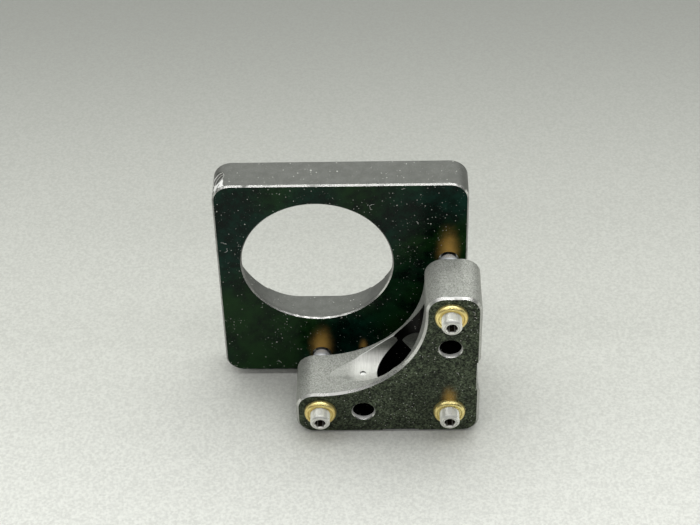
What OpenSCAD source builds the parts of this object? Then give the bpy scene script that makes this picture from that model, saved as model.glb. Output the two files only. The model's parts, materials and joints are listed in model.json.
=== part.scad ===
// Kinematic mirror mount: an L-shaped base bracket and a square front plate
// that holds a round mirror. Three fine-pitch adjusters push the plate away
// from the base and two extension springs pull it back, so the plate rests on
// three balls in a cone, a vee and a flat seat.
//
// Millimetres. The origin is the centre of the seat that the mirror's back
// face rests on. +Y runs along the mirror's axis from the base towards the
// open side of the pocket, +X and +Z run towards the top adjuster's column
// and the top of the plate.

/* [Front plate] */
// Side of the square front plate
plate_w = 80; // [79:0.5:88]
// Thickness of the front plate
plate_t = 12; // [11:0.5:15]
// Radius of the front plate's four corners
plate_corner_r = 6; // [3:0.5:8]
// Bevel along the front plate's rear edge
plate_rear_bevel = 0.5; // [0.2:0.1:0.8]
// Bevel along the front plate's front edge
plate_front_bevel = 0.3; // [0.1:0.1:0.8]
// Distance from the plate's left edge to the mirror's axis
axis_from_left = 31.9; // [31.5:0.1:33.5]
// Distance from the plate's top edge to the mirror's axis
axis_from_top = 31.95; // [31.55:0.1:33.55]

/* [Mirror pocket] */
// Diameter of the mirror that the pocket takes
mirror_d = 50.8; // [50:0.1:51.2]
// Play between the mirror and each of the two flats that it rests against
mirror_play = 0.05; // [0.02:0.01:0.1]
// Radial relief of the pocket round the mirror
pocket_relief = 2.1; // [1.5:0.1:2.4]
// Diameter of the aperture behind the mirror
aperture_d = 48.4; // [40:0.2:49]
// Thickness of the lip that the mirror's back face rests on
lip_t = 1.5; // [1.2:0.1:2.5]
// Bevel of the aperture's rear edge
aperture_bevel = 0.4; // [0.2:0.1:0.6]
// Radius that blends each flat into the pocket's round
pocket_blend_r = 18; // [12:0.5:19]
// Bevel of the pocket's open edge
pocket_bevel = 0.4; // [0.2:0.1:0.8]

/* [Mirror set screw] */
// Major diameter of the mirror's set screw
set_d = 4.76; // [4:0.02:4.8]
// Pitch of the set screw's thread
set_pitch = 0.794; // [0.5:0.001:1]
// Length of the set screw
set_len = 8; // [6:0.5:8.5]
// Radius from the mirror's axis to the end of the soft tip at rest
tip_reach = 26.2; // [25.9:0.1:26.6]
// Diameter of the soft tip's head
tip_d = 3.8; // [3:0.1:3.9]
// Height of the soft tip's head in front of the set screw
tip_len = 2.3; // [1.8:0.1:3]
// Diameter of the soft tip's stem in the set screw
tip_stem_d = 2.4; // [2:0.1:2.6]
// Length of the soft tip's stem
tip_stem_len = 2; // [1.5:0.1:2.4]
// Hexagon of the set screw's socket across its flats
set_hex = 2.38; // [2:0.01:2.5]
// Depth of the set screw's socket
set_hex_depth = 2.6; // [2:0.1:3]
// Bevel of the set screw hole's mouth
set_mouth_bevel = 0.4; // [0.2:0.1:0.6]

/* [Adjusters] */
// Distance from the right column of adjusters to the plate's right edge
adjuster_from_right = 6; // [5.6:0.1:7]
// Distance from the lower row of adjusters to the plate's bottom edge
adjuster_from_bottom = 7.25; // [6:0.05:8]
// Distance from the corner adjuster to each of the other two
adjuster_spacing = 41.8; // [40.5:0.1:44]
// Diameter of the adjuster screws' thread
screw_d = 6.35; // [6.2:0.05:6.6]
// Pitch of the adjuster screws' thread
screw_pitch = 0.3175; // [0.2:0.0005:0.5]
// How far the adjuster screws stand out behind the base
screw_reach = 5.45; // [3:0.05:9]
// Bevel at the adjuster screws' ends
screw_bevel = 0.6; // [0.3:0.1:0.9]
// Hexagon of the adjusters' sockets across its flats
screw_hex = 3.175; // [2.5:0.005:3.6]
// Depth of the adjusters' sockets
screw_hex_depth = 4.5; // [3:0.1:7]
// Diameter of the neck that carries the ball
neck_d = 4.2; // [3.4:0.1:4.6]
// Length of the neck between the thread and the ball's centre
neck_len = 4.1; // [3.7:0.1:4.6]
// Diameter of the balls
ball_d = 6; // [5.6:0.05:6.1]
// How far each ball stands into the front plate
ball_sink = 1; // [0.7:0.05:1.3]

/* [Bushings] */
// Diameter of the bushings' sleeve
bushing_d = 9.5; // [9:0.1:10]
// Overhang of the bushings' flange round the sleeve
flange_over = 0.45; // [0.3:0.05:0.9]
// Thickness of the bushings' flange
flange_t = 1.7; // [1:0.05:2.4]
// Rounding of the flange's rear edge
flange_edge = 0.5; // [0.3:0.05:0.7]
// Rim left round the recess in the bushings' rear face
rim_w = 0.4; // [0.3:0.05:0.6]
// Depth of the recess in the bushings' rear face
recess_depth = 0.35; // [0.2:0.05:0.5]
// How far the bushings stand out in front of the base
nose_reach = 2; // [1:0.1:2.4]
// Bevel at the bushings' front end
nose_bevel = 0.4; // [0.2:0.1:0.8]

/* [Ball seats] */
// Diameter of the hardened seats in the front plate
seat_d = 6.4; // [6:0.1:6.8]
// Length of the hardened seats
seat_len = 5; // [4:0.1:6]
// Flank angle of the cone and of the vee to the adjuster's axis
seat_angle = 45; // [43:0.5:48]

/* [Base] */
// Gap between the base and the front plate
plate_gap = 8.2; // [7.8:0.1:10]
// Thickness of the base
base_t = 18.5; // [17.5:0.1:22]
// Distance from the adjusters to the base's outer edges
base_outer = 9.6; // [8.5:0.1:11]
// Distance from the end adjusters to the base's two ends
base_end = 7.8; // [7:0.1:10]
// Distance from the adjusters to the inner side of their leg
base_inner = 7.9; // [7.2:0.1:8.6]
// Radius of the corners at the base's two ends
boss_corner_r = 6; // [3:0.5:6.5]
// Radius of the corner where the base's legs meet
heel_corner_r = 5.5; // [3:0.5:8]
// Bevel along the base's rear edges
base_rear_bevel = 0.8; // [0.4:0.1:1]
// Bevel along the base's front edges
base_front_bevel = 0.5; // [0.2:0.1:0.9]

/* [Mounting holes] */
// Distance from each mounting hole to the outer face it runs along
hole_inset = 25.3; // [25.1:0.1:26]
// Diameter of the mounting holes
hole_d = 6.6; // [5.5:0.1:7]
// Diameter of the counterbores for the mounting screws' heads
cbore_d = 15.2; // [12:0.2:15.4]
// Metal left under a mounting screw's head
cbore_floor = 7; // [5:0.1:9]
// Diameter of the shallow relief round each mounting hole's exit
relief_d = 22; // [20:0.5:24]
// Depth of the shallow relief
relief_depth = 1.2; // [0.5:0.1:2]

/* [Springs] */
// Distance from the corner adjuster to each spring
spring_offset = 27.8; // [27.2:0.1:30]
// Outer diameter of the springs
spring_d = 4; // [3.6:0.1:4.6]
// Diameter of the springs' wire
wire_d = 0.6; // [0.5:0.05:0.7]
// Turns in each spring's coil
spring_turns = 20; // [14:1:22]
// Diameter of the spring holes through the base
spring_hole_d = 7.2; // [6.2:0.1:7.4]
// Bevel at the spring holes' mouths
spring_hole_bevel = 0.3; // [0.2:0.1:0.5]
// Diameter of the spring bores in the front plate
spring_bore_d = 6; // [5.6:0.1:7]
// Diameter of the cross pins that hold the springs
pin_d = 2; // [1.6:0.1:2.2]
// How far each cross pin runs past its spring's axis
pin_past = 5; // [4.6:0.1:5.5]
// How far each cross pin lies below the surface it is pressed in from
pin_recess = 0.3; // [0.1:0.1:0.8]

/* [Fits] */
// Radial clearance of the adjuster screws in their bushings
thread_fit = 0.05; // [0.03:0.01:0.08]
// Radial gap round pieces that are pressed in and stay put
press_fit = 0.02; // [0.01:0.01:0.03]
// Gap between a ball and the cup of its screw
cup_fit = 0.06; // [0.04:0.01:0.08]
// Gap between a ball and its seat at rest
seat_fit = 0.15; // [0.12:0.01:0.25]
// Gap between a spring's hook and its pin
hook_fit = 0.1; // [0.05:0.01:0.2]

/* [Hidden] */
// How far a cutter runs past the face it cuts through
over = 1;

// Front plate, seen along the mirror's axis and along Y
plate_x0 = -axis_from_left;
plate_x1 = plate_x0 + plate_w;
plate_z1 = axis_from_top;
plate_z0 = plate_z1 - plate_w;
plate_y0 = -lip_t;
plate_y1 = plate_y0 + plate_t;
plate_mid = (plate_y0 + plate_y1) / 2;
mirror_r = mirror_d / 2;
pocket_r = mirror_r + pocket_relief;
flat_at = mirror_r + mirror_play;

// Adjusters
adj_x = plate_x1 - adjuster_from_right;
adj_z = plate_z0 + adjuster_from_bottom;
CORNER = [adj_x, adj_z];
TOP = [adj_x, adj_z + adjuster_spacing];
LEFT = [adj_x - adjuster_spacing, adj_z];
ball_r = ball_d / 2;
ball_y = plate_y0 + ball_sink - ball_r;
screw_r = screw_d / 2;
sleeve_r = bushing_d / 2;
flange_r = sleeve_r + flange_over;
hex_corner = 2 / sqrt(3);

// Base, seen along Y and in the plane of the plate
base_y1 = plate_y0 - plate_gap;
base_y0 = base_y1 - base_t;
base_mid = (base_y0 + base_y1) / 2;
base_x1 = adj_x + base_outer;
base_x0 = LEFT[0] - base_end;
base_z0 = adj_z - base_outer;
base_z1 = TOP[1] + base_end;
leg_x = adj_x - base_inner;
leg_z = adj_z + base_inner;
hollow_r = adjuster_spacing - base_inner;
hole_x = base_x1 - hole_inset;
hole_z = base_z0 + hole_inset;
cbore_r = cbore_d / 2;

// Springs and their pins
UPPER = [adj_x, adj_z + spring_offset];
LOWER = [adj_x - spring_offset, adj_z];
hook_r = (pin_d + wire_d) / 2 + hook_fit;
coil_r = (spring_d - wire_d) / 2;
spring_span = plate_mid - base_mid;
coil_lead = hook_r + 2 * wire_d;
spring_bore_y = plate_mid + hook_r + wire_d;
arc_steps = 14;
turn_steps = 14;
wire_sides = 6;

// Set screw, along its own axis from the mirror's axis towards the corner
set_r = set_d / 2;
set_r0 = tip_reach + tip_len;
set_r1 = set_r0 + set_len;
corner_out = norm([plate_x0 + plate_corner_r, plate_z1 - plate_corner_r]) + plate_corner_r;

// A cylinder along +Y from y0 to y1 at a place in the plane of the plate
module bore_y(at, r, y0, y1, r_end = -1) {
    translate([at[0], y0, at[1]])
        rotate([-90, 0, 0])
            cylinder(h = y1 - y0, r1 = r, r2 = r_end < 0 ? r : r_end, $fn = 96);
}

// A cylinder along +X
module bore_x(y, z, r, x0, x1) {
    translate([x0, y, z])
        rotate([0, 90, 0])
            cylinder(h = x1 - x0, r = r, $fn = 96);
}

// A cylinder along +Z
module bore_z(x, y, r, z0, z1) {
    translate([x, y, z0])
        cylinder(h = z1 - z0, r = r, $fn = 96);
}

// A profile of [radius, y] points turned about a line along Y
module turned_y(at, profile) {
    translate([at[0], 0, at[1]])
        rotate([-90, 0, 0])
            rotate_extrude($fn = 96) polygon(profile);
}

// A bar along X or Z with its front and rear edges bevelled
module bevelled_run(from, to, y0, y1, rear, front) {
    linear_extrude(height = to[1] - from[1])
        polygon([
            [from[0], y0 + rear], [from[0] + rear, y0],
            [to[0] - rear, y0], [to[0], y0 + rear],
            [to[0], y1 - front], [to[0] - front, y1],
            [from[0] + front, y1], [from[0], y1 - front]
        ]);
}

// A slab with four rounded corners and bevelled front and rear edges. The
// corner radii run from the lower left corner, counter-clockwise.
module bevelled_slab(x0, x1, z0, z1, y0, y1, radii, rear, front) {
    low = max(radii[0], radii[1]);
    high = max(radii[2], radii[3]);
    left = max(radii[0], radii[3]);
    right = max(radii[1], radii[2]);
    translate([0, 0, z0 + low])
        bevelled_run([x0, 0], [x1, z1 - z0 - low - high], y0, y1, rear, front);
    translate([x1 - right, 0, 0])
        rotate([0, -90, 0])
            bevelled_run([z0, 0], [z1, x1 - x0 - left - right], y0, y1, rear, front);
    corners = [[x0, z0, 1, 1], [x1, z0, -1, 1], [x1, z1, -1, -1], [x0, z1, 1, -1]];
    for (i = [0 : 3]) {
        c = corners[i];
        r = radii[i];
        turned_y([c[0] + c[2] * r, c[1] + c[3] * r], [
            [0, y0], [r - rear, y0], [r, y0 + rear],
            [r, y1 - front], [r - front, y1], [0, y1]
        ]);
    }
}

// The square behind the base's hollow, bevelled where the hollow meets it
module heel() {
    size = [adj_x - LEFT[0], base_t, TOP[1] - adj_z];
    difference() {
        translate([LEFT[0], base_y0, adj_z]) cube(size);
        bore_y([LEFT[0], TOP[1]], hollow_r, base_y0 - over, base_y1 + over);
        bore_y(
            [LEFT[0], TOP[1]], hollow_r + base_rear_bevel + over,
            base_y0 - over, base_y0 + base_rear_bevel, hollow_r
        );
        bore_y(
            [LEFT[0], TOP[1]], hollow_r,
            base_y1 - base_front_bevel, base_y1 + over, hollow_r + base_front_bevel + over
        );
    }
}

module base_bracket() {
    color([0.13, 0.13, 0.13])
        difference() {
            union() {
                bevelled_slab(
                    leg_x, base_x1, base_z0, base_z1, base_y0, base_y1,
                    [heel_corner_r, heel_corner_r, boss_corner_r, boss_corner_r],
                    base_rear_bevel, base_front_bevel
                );
                bevelled_slab(
                    base_x0, base_x1, base_z0, leg_z, base_y0, base_y1,
                    [boss_corner_r, heel_corner_r, heel_corner_r, boss_corner_r],
                    base_rear_bevel, base_front_bevel
                );
                heel();
            }
            for (at = [CORNER, TOP, LEFT])
                bore_y(at, sleeve_r + press_fit, base_y0 - over, base_y1 + over);
            for (at = [UPPER, LOWER]) {
                bore_y(at, spring_hole_d / 2, base_y0 - over, base_y1 + over);
                bore_y(
                    at, spring_hole_d / 2 + spring_hole_bevel + over,
                    base_y0 - over, base_y0 + spring_hole_bevel, spring_hole_d / 2
                );
            }
            bore_z(hole_x, base_mid, cbore_r, base_z0 + cbore_floor, base_z1 + over);
            bore_z(hole_x, base_mid, hole_d / 2, base_z0 - over, base_z0 + cbore_floor + over);
            bore_z(hole_x, base_mid, relief_d / 2, base_z0 - over, base_z0 + relief_depth);
            bore_x(base_mid, hole_z, cbore_r, base_x0 - over, base_x1 - cbore_floor);
            bore_x(base_mid, hole_z, hole_d / 2, base_x1 - cbore_floor - over, base_x1 + over);
            bore_x(base_mid, hole_z, relief_d / 2, base_x1 - relief_depth, base_x1 + over);
            bore_x(base_mid, UPPER[1], pin_d / 2 + press_fit, leg_x - over, adj_x + pin_past);
            bore_z(LOWER[0], base_mid, pin_d / 2 + press_fit, adj_z - pin_past, leg_z + over * 4);
        }
}

// A flanged brass sleeve that the adjuster screw runs in
module bushing(at) {
    back = base_y0 - flange_t;
    nose = base_y1 + nose_reach;
    inner = screw_r + thread_fit;
    edge = min(flange_edge, flange_over + rim_w / 2);
    color([0.85, 0.65, 0.2])
        turned_y(at, concat(
            [
                [inner, back + recess_depth], [sleeve_r - rim_w, back + recess_depth],
                [sleeve_r - rim_w, back], [flange_r - edge, back]
            ],
            [for (a = [15 : 15 : 75]) [
                flange_r - edge + edge * sin(a), back + edge - edge * cos(a)
            ]],
            [
                [flange_r, back + edge], [flange_r, base_y0], [sleeve_r, base_y0],
                [sleeve_r, nose - nose_bevel], [sleeve_r - nose_bevel, nose], [inner, nose]
            ]
        ));
}

// An adjuster screw: thread, bevelled socket end, and a neck cupped for the ball
module adjuster_screw(at) {
    rear = base_y0 - screw_reach;
    neck = ball_y - neck_len;
    cup_r = ball_r + cup_fit;
    neck_r = neck_d / 2;
    color([0.85, 0.85, 0.87])
        difference() {
            turned_y(at, [
                [0, rear], [screw_r - screw_bevel, rear], [screw_r, rear + screw_bevel],
                [screw_r, neck - screw_bevel], [screw_r - screw_bevel, neck],
                [neck_r, neck], [neck_r, ball_y - cup_r / 2], [0, ball_y - cup_r / 2]
            ]);
            translate([at[0], ball_y, at[1]]) sphere(r = cup_r, $fn = 96);
            translate([at[0], rear - over, at[1]])
                rotate([-90, 0, 0])
                    cylinder(h = screw_hex_depth + over, d = screw_hex * hex_corner, $fn = 6);
        }
}

module ball(at) {
    color([0.9, 0.9, 0.92])
        translate([at[0], ball_y, at[1]]) sphere(r = ball_r, $fn = 96);
}

// Where the flanks of a seat meet, in front of the ball's centre
seat_apex = ball_y + (ball_r + seat_fit) / sin(seat_angle);
seat_end = plate_y0 + seat_len;

module cone_seat() {
    depth = seat_apex - plate_y0 + over;
    color([0.6, 0.6, 0.62])
        difference() {
            bore_y(CORNER, seat_d / 2, plate_y0, seat_end);
            bore_y(CORNER, depth * tan(seat_angle), plate_y0 - over, seat_apex, 0);
        }
}

// The vee runs towards the cone, so the plate can grow and not bind
module vee_seat() {
    depth = seat_apex - plate_y0 + over;
    half = depth * tan(seat_angle);
    color([0.6, 0.6, 0.62])
        difference() {
            bore_y(TOP, seat_d / 2, plate_y0, seat_end);
            translate([TOP[0], 0, TOP[1] - seat_d])
                linear_extrude(height = 2 * seat_d)
                    polygon([[-half, plate_y0 - over], [half, plate_y0 - over], [0, seat_apex]]);
        }
}

module flat_seat() {
    color([0.6, 0.6, 0.62])
        bore_y(LEFT, seat_d / 2, ball_y + ball_r + seat_fit, seat_end);
}

// One point and one outward direction for each ring of a spring's wire. The
// hooks lie in the plane of u and v, and the coil winds about u.
function spring_path(span) = concat(
    [for (i = [0 : arc_steps]) let (a = 75 + i * 195 / arc_steps)
        [[hook_r * cos(a), hook_r * sin(a), 0], [cos(a), sin(a), 0]]],
    [for (i = [0 : spring_turns * turn_steps]) let (
        t = i / turn_steps,
        u = coil_lead + (span - 2 * coil_lead) * t / spring_turns,
        d = [0, -cos(360 * t), sin(360 * t)]
    ) [[u, 0, 0] + coil_r * d, d]],
    [for (i = [0 : arc_steps]) let (a = -90 + i * 195 / arc_steps)
        [[span + hook_r * cos(a), hook_r * sin(a), 0], [cos(a), sin(a), 0]]]
);

function unit(v) = v / norm(v);

module spring_wire(span) {
    path = spring_path(span);
    last = len(path) - 1;
    rings = [for (i = [0 : last]) let (
        along = unit(path[min(i + 1, last)][0] - path[max(i - 1, 0)][0]),
        out = unit(path[i][1] - (path[i][1] * along) * along),
        side = cross(along, out)
    ) for (k = [0 : wire_sides - 1]) let (a = 360 * k / wire_sides)
        path[i][0] + wire_d / 2 * (cos(a) * out + sin(a) * side)];
    polyhedron(
        points = rings,
        faces = concat(
            [[for (k = [0 : wire_sides - 1]) k]],
            [for (i = [0 : last - 1], k = [0 : wire_sides - 1]) let (
                n = (k + 1) % wire_sides,
                a = i * wire_sides,
                b = a + wire_sides
            ) each [[a + k, b + k, b + n], [a + k, b + n, a + n]]],
            [[for (k = [wire_sides - 1 : -1 : 0]) last * wire_sides + k]]
        )
    );
}

// The hooks of the upper spring loop round pins that lie along X
module top_spring() {
    color([0.7, 0.7, 0.72])
        translate([UPPER[0], base_mid, UPPER[1]])
            multmatrix([[0, 0, 1, 0], [1, 0, 0, 0], [0, 1, 0, 0]])
                spring_wire(spring_span);
}

// The hooks of the lower spring loop round pins that lie along Z
module left_spring() {
    color([0.7, 0.7, 0.72])
        translate([LOWER[0], base_mid, LOWER[1]])
            multmatrix([[0, -1, 0, 0], [1, 0, 0, 0], [0, 0, 1, 0]])
                spring_wire(spring_span);
}

// Everything that is set into the plate along the diagonal of its top corner
module on_diagonal() {
    translate([0, plate_mid, 0])
        rotate([0, -45, 0])
            children();
}

module front_plate() {
    r = plate_corner_r;
    color([0.1, 0.1, 0.1])
        difference() {
            bevelled_slab(
                plate_x0, plate_x1, plate_z0, plate_z1, plate_y0, plate_y1,
                [r, r, r, r], plate_rear_bevel, plate_front_bevel
            );
            bore_y([0, 0], aperture_d / 2, plate_y0 - over, over);
            bore_y(
                [0, 0], aperture_d / 2 + aperture_bevel + over,
                plate_y0 - over, plate_y0 + aperture_bevel, aperture_d / 2
            );
            pocket();
            for (at = [CORNER, TOP, LEFT])
                bore_y(at, seat_d / 2 + press_fit, plate_y0 - over, seat_end);
            for (at = [UPPER, LOWER])
                bore_y(at, spring_bore_d / 2, plate_y0 - over, spring_bore_y);
            bore_x(
                plate_mid, UPPER[1], pin_d / 2 + press_fit,
                adj_x - pin_past, plate_x1 + over
            );
            bore_z(
                LOWER[0], plate_mid, pin_d / 2 + press_fit,
                plate_z0 - over, adj_z + pin_past
            );
            on_diagonal() {
                translate([0, 0, mirror_r])
                    cylinder(h = corner_out - mirror_r + over, r = set_r + thread_fit, $fn = 96);
                translate([0, 0, corner_out - set_mouth_bevel])
                    cylinder(
                        h = set_mouth_bevel + over, r1 = set_r + thread_fit,
                        r2 = set_r + thread_fit + set_mouth_bevel + over, $fn = 96
                    );
            }
        }
}

// The mirror's pocket: a round relief with two flats that the mirror is
// pushed against, blended into the round, and a bevel at its open edge
module pocket() {
    difference() {
        union() {
            bore_y([0, 0], pocket_r, 0, plate_y1 + over);
            bore_y(
                [0, 0], pocket_r, plate_y1 - pocket_bevel,
                plate_y1 + over, pocket_r + pocket_bevel + over
            );
        }
        for (turn = [0, 90])
            rotate([0, turn, 0]) pocket_flat();
    }
}

// What stays of the plate behind one flat, from below the seat to past the
// open side, with the two corners that blend it into the round
module pocket_flat() {
    top = plate_y1 + 2 * over;
    across = pocket_r - pocket_blend_r;
    along = flat_at - pocket_blend_r;
    rise = sqrt(across * across - along * along);
    corner = sqrt(pocket_r * pocket_r - flat_at * flat_at);
    translate([flat_at, -over, -pocket_r])
        cube([pocket_r, top + over, 2 * pocket_r]);
    for (side = [-1, 1])
        difference() {
            translate([0, top, 0])
                rotate([90, 0, 0])
                    linear_extrude(height = top + over)
                        polygon([
                            [along, side * rise], [pocket_r, side * rise],
                            [pocket_r, side * (corner + over)],
                            (pocket_r + over) / across * [along, side * rise]
                        ]);
            bore_y([along, side * rise], pocket_blend_r, -2 * over, top + over);
        }
}

module optic_set_screw() {
    stem = tip_stem_d / 2 + thread_fit;
    bevel = set_mouth_bevel;
    color([0.3, 0.3, 0.32])
        on_diagonal()
            difference() {
                rotate_extrude($fn = 96)
                    polygon([
                        [0, set_r0], [set_r - bevel, set_r0], [set_r, set_r0 + bevel],
                        [set_r, set_r1 - bevel], [set_r - bevel, set_r1], [0, set_r1]
                    ]);
                translate([0, 0, set_r0 - over])
                    cylinder(h = tip_stem_len + thread_fit + over, r = stem, $fn = 96);
                translate([0, 0, set_r1 - set_hex_depth])
                    cylinder(h = set_hex_depth + over, d = set_hex * hex_corner, $fn = 6);
            }
}

module set_screw_tip() {
    stem = tip_stem_d / 2;
    head = tip_d / 2;
    dome = head / 2;
    color([0.93, 0.92, 0.88])
        on_diagonal()
            rotate_extrude($fn = 96)
                polygon(concat(
                    [[0, tip_reach]],
                    [for (a = [15 : 15 : 90])
                        [head * sin(a), tip_reach + dome * (1 - cos(a))]],
                    [
                        [head, set_r0 - thread_fit], [stem, set_r0 - thread_fit],
                        [stem, set_r0 + tip_stem_len], [0, set_r0 + tip_stem_len]
                    ]
                ));
}

// A pin across the upper spring hole of the base, in from the inner groove
module upper_base_pin() {
    start = max(leg_x, hole_x + cbore_r) + pin_recess;
    color([0.75, 0.75, 0.77])
        bore_x(base_mid, UPPER[1], pin_d / 2, start, adj_x + pin_past);
}

// A pin across the lower spring hole of the base, in from the inner groove
module lower_base_pin() {
    end = min(hole_z - cbore_r, TOP[1] - sqrt(pow(hollow_r, 2) - pow(LOWER[0] - LEFT[0], 2)));
    color([0.75, 0.75, 0.77])
        bore_z(LOWER[0], base_mid, pin_d / 2, adj_z - pin_past, end - pin_recess);
}

module upper_plate_pin() {
    color([0.75, 0.75, 0.77])
        bore_x(plate_mid, UPPER[1], pin_d / 2, adj_x - pin_past, plate_x1 - pin_recess);
}

module lower_plate_pin() {
    color([0.75, 0.75, 0.77])
        bore_z(LOWER[0], plate_mid, pin_d / 2, plate_z0 + pin_recess, adj_z + pin_past);
}

base_bracket();
bushing(TOP);  // top_bushing
bushing(LEFT);  // left_bushing
bushing(CORNER);  // corner_bushing
upper_base_pin();
lower_base_pin();
adjuster_screw(TOP);  // top_screw
adjuster_screw(LEFT);  // left_screw
adjuster_screw(CORNER);  // corner_screw
ball(TOP);  // top_ball
ball(LEFT);  // left_ball
ball(CORNER);  // corner_ball
top_spring();
left_spring();
front_plate();
cone_seat();
vee_seat();
flat_seat();
upper_plate_pin();
lower_plate_pin();
optic_set_screw();
set_screw_tip();
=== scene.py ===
"""Looks for the kinematic mirror mount: finishes for its machined parts, cut
threads on its screws, domed bushings, wound springs, lint, and the studio."""

import json
import math

import bmesh
import bpy
import numpy as np
from mathutils import Matrix, Vector


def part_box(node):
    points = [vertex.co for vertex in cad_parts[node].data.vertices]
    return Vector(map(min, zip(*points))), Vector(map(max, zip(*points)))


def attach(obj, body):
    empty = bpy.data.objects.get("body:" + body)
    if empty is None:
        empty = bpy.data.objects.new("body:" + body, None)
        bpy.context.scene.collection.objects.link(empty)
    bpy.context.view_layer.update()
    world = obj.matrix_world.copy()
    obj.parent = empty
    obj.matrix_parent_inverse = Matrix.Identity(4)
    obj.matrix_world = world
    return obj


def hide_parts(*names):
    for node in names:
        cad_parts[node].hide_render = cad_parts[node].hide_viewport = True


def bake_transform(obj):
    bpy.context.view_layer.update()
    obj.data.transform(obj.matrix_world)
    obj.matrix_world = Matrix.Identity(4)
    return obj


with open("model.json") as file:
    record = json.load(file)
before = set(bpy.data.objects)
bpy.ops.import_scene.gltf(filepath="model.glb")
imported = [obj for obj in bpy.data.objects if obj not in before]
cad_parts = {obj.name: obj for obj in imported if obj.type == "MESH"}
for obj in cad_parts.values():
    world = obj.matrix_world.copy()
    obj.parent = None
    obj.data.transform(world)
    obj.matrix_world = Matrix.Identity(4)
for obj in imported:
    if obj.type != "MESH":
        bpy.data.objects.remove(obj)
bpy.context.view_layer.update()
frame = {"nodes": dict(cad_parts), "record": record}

MM = 0.001
TURN = 2 * math.pi
PLATE_LOW, PLATE_HIGH = (np.array(c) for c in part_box("front_plate"))
BASE_LOW, BASE_HIGH = (np.array(c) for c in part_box("base_bracket"))
MOUNTS = {m["name"]: m["pos_m"] for m in frame["record"]["mounts"]}
THREAD_R, THREAD_DEPTH, THREAD_PITCH = 3.175 * MM, 0.195 * MM, 0.3175 * MM
SOCKET_R = 1.5875 * MM
SET_SCREW_PITCH = 0.794 * MM
COUNTERBORE_R, SPRING_HOLE_R = 7.6 * MM, 3.6 * MM


def middle(node):
    """The middle of a node's box."""
    low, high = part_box(node)
    return (np.array(low) + np.array(high)) / 2


# ---------------------------------------------------------------- meshes


def make_piece(name, points, faces, material, body, stands_for=(), crease=35):
    """A mesh from arrays of points and faces, shaded smooth up to a crease angle.
    It rides on a body. A tuple of two bodies and points given instead is not
    used: the piece rides on none, its place baked into its mesh."""
    mesh = bpy.data.meshes.new(name)
    mesh.from_pydata(points.tolist(), [], [list(f) for f in faces])
    shell = bmesh.new()
    shell.from_mesh(mesh)
    bmesh.ops.remove_doubles(shell, verts=shell.verts, dist=1e-7)
    bmesh.ops.recalc_face_normals(shell, faces=shell.faces)
    shell.to_mesh(mesh)
    shell.free()
    mesh.shade_smooth()
    mesh.set_sharp_from_angle(angle=math.radians(crease))
    mesh.materials.append(material)
    piece = bpy.data.objects.new(name, mesh)
    bpy.context.collection.objects.link(piece)
    if isinstance(body, tuple):
        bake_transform(piece)
    else:
        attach(piece, body)
    if stands_for:
        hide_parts(*stands_for)


def grid_faces(rows, columns, first=0):
    """The four corners of each cell of a grid whose columns join end to end."""
    r, c = np.meshgrid(np.arange(rows - 1), np.arange(columns), indexing="ij")
    n = (c + 1) % columns
    corners = np.stack([r * columns + c, r * columns + n,
                        (r + 1) * columns + n, (r + 1) * columns + c], axis=-1)
    return corners.reshape(-1, 4) + first


def capped(rings, ends):
    """Points and faces of a stack of rings, closed by a fan round each end."""
    rows, sides = rings.shape[:2]
    tip, last = rows * sides, (rows - 1) * sides
    fans = [[tip, (k + 1) % sides, k] for k in range(sides)]
    fans += [[tip + 1, last + k, last + (k + 1) % sides] for k in range(sides)]
    return np.vstack([rings.reshape(-1, 3), ends]), grid_faces(rows, sides).tolist() + fans


def turned(rows, sides, origin, axis, out, hollow=False):
    """A turned, threaded or broached surface, capped, or a hollow ring whose
    last row meets its first.
    Each row is (distance along the axis, radius, thread depth, pitch, hexagon).
    The radius at angle a is the row's radius, less the thread's V, which is the
    depth times the triangle wave of distance / pitch - a / turn, cut flat at
    its crest and root; where the hexagon share is 1 the radius is divided by
    cos(a within its sixth - 30 degrees)."""
    rows = np.array(list(rows) + list(rows[:1]) * hollow, dtype=float)
    angle = TURN * np.arange(sides) / sides
    along, radius, depth, pitch, hexed = (rows[:, i:i + 1] for i in range(5))
    phase = (along / np.maximum(pitch, 1e-9) - angle / TURN) % 1.0
    wave, crest = np.abs(2 * phase - 1), 0.12
    flat = np.clip((wave - crest) / (1 - 2 * crest), 0, 1)
    six = 1 / np.cos((angle % (TURN / 6)) - TURN / 12)
    r = (radius - depth * flat) * (1 + hexed * (six - 1))
    axis, out = np.array(axis, float), np.array(out, float)
    side = np.cross(axis, out)
    ring = np.cos(angle)[:, None] * out + np.sin(angle)[:, None] * side
    rings = np.array(origin) + along[:, :, None] * axis + r[:, :, None] * ring
    if hollow:
        return rings.reshape(-1, 3), grid_faces(len(rows), sides).tolist()
    return capped(rings, np.array(origin) + along[[0, -1]] * axis)


def thread_rows(start, stop, radius, depth, pitch, steps):
    """Rows for a thread that runs in over one pitch and out over one pitch."""
    count = int(round((stop - start) / pitch * steps)) + 1
    y = np.linspace(start, stop, count)
    fade = np.clip(np.minimum(y - start, stop - y) / pitch, 0, 1)
    full = np.full(count, radius)
    return np.stack([y, full, depth * fade, np.full(count, pitch), 0 * y], axis=1)


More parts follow.
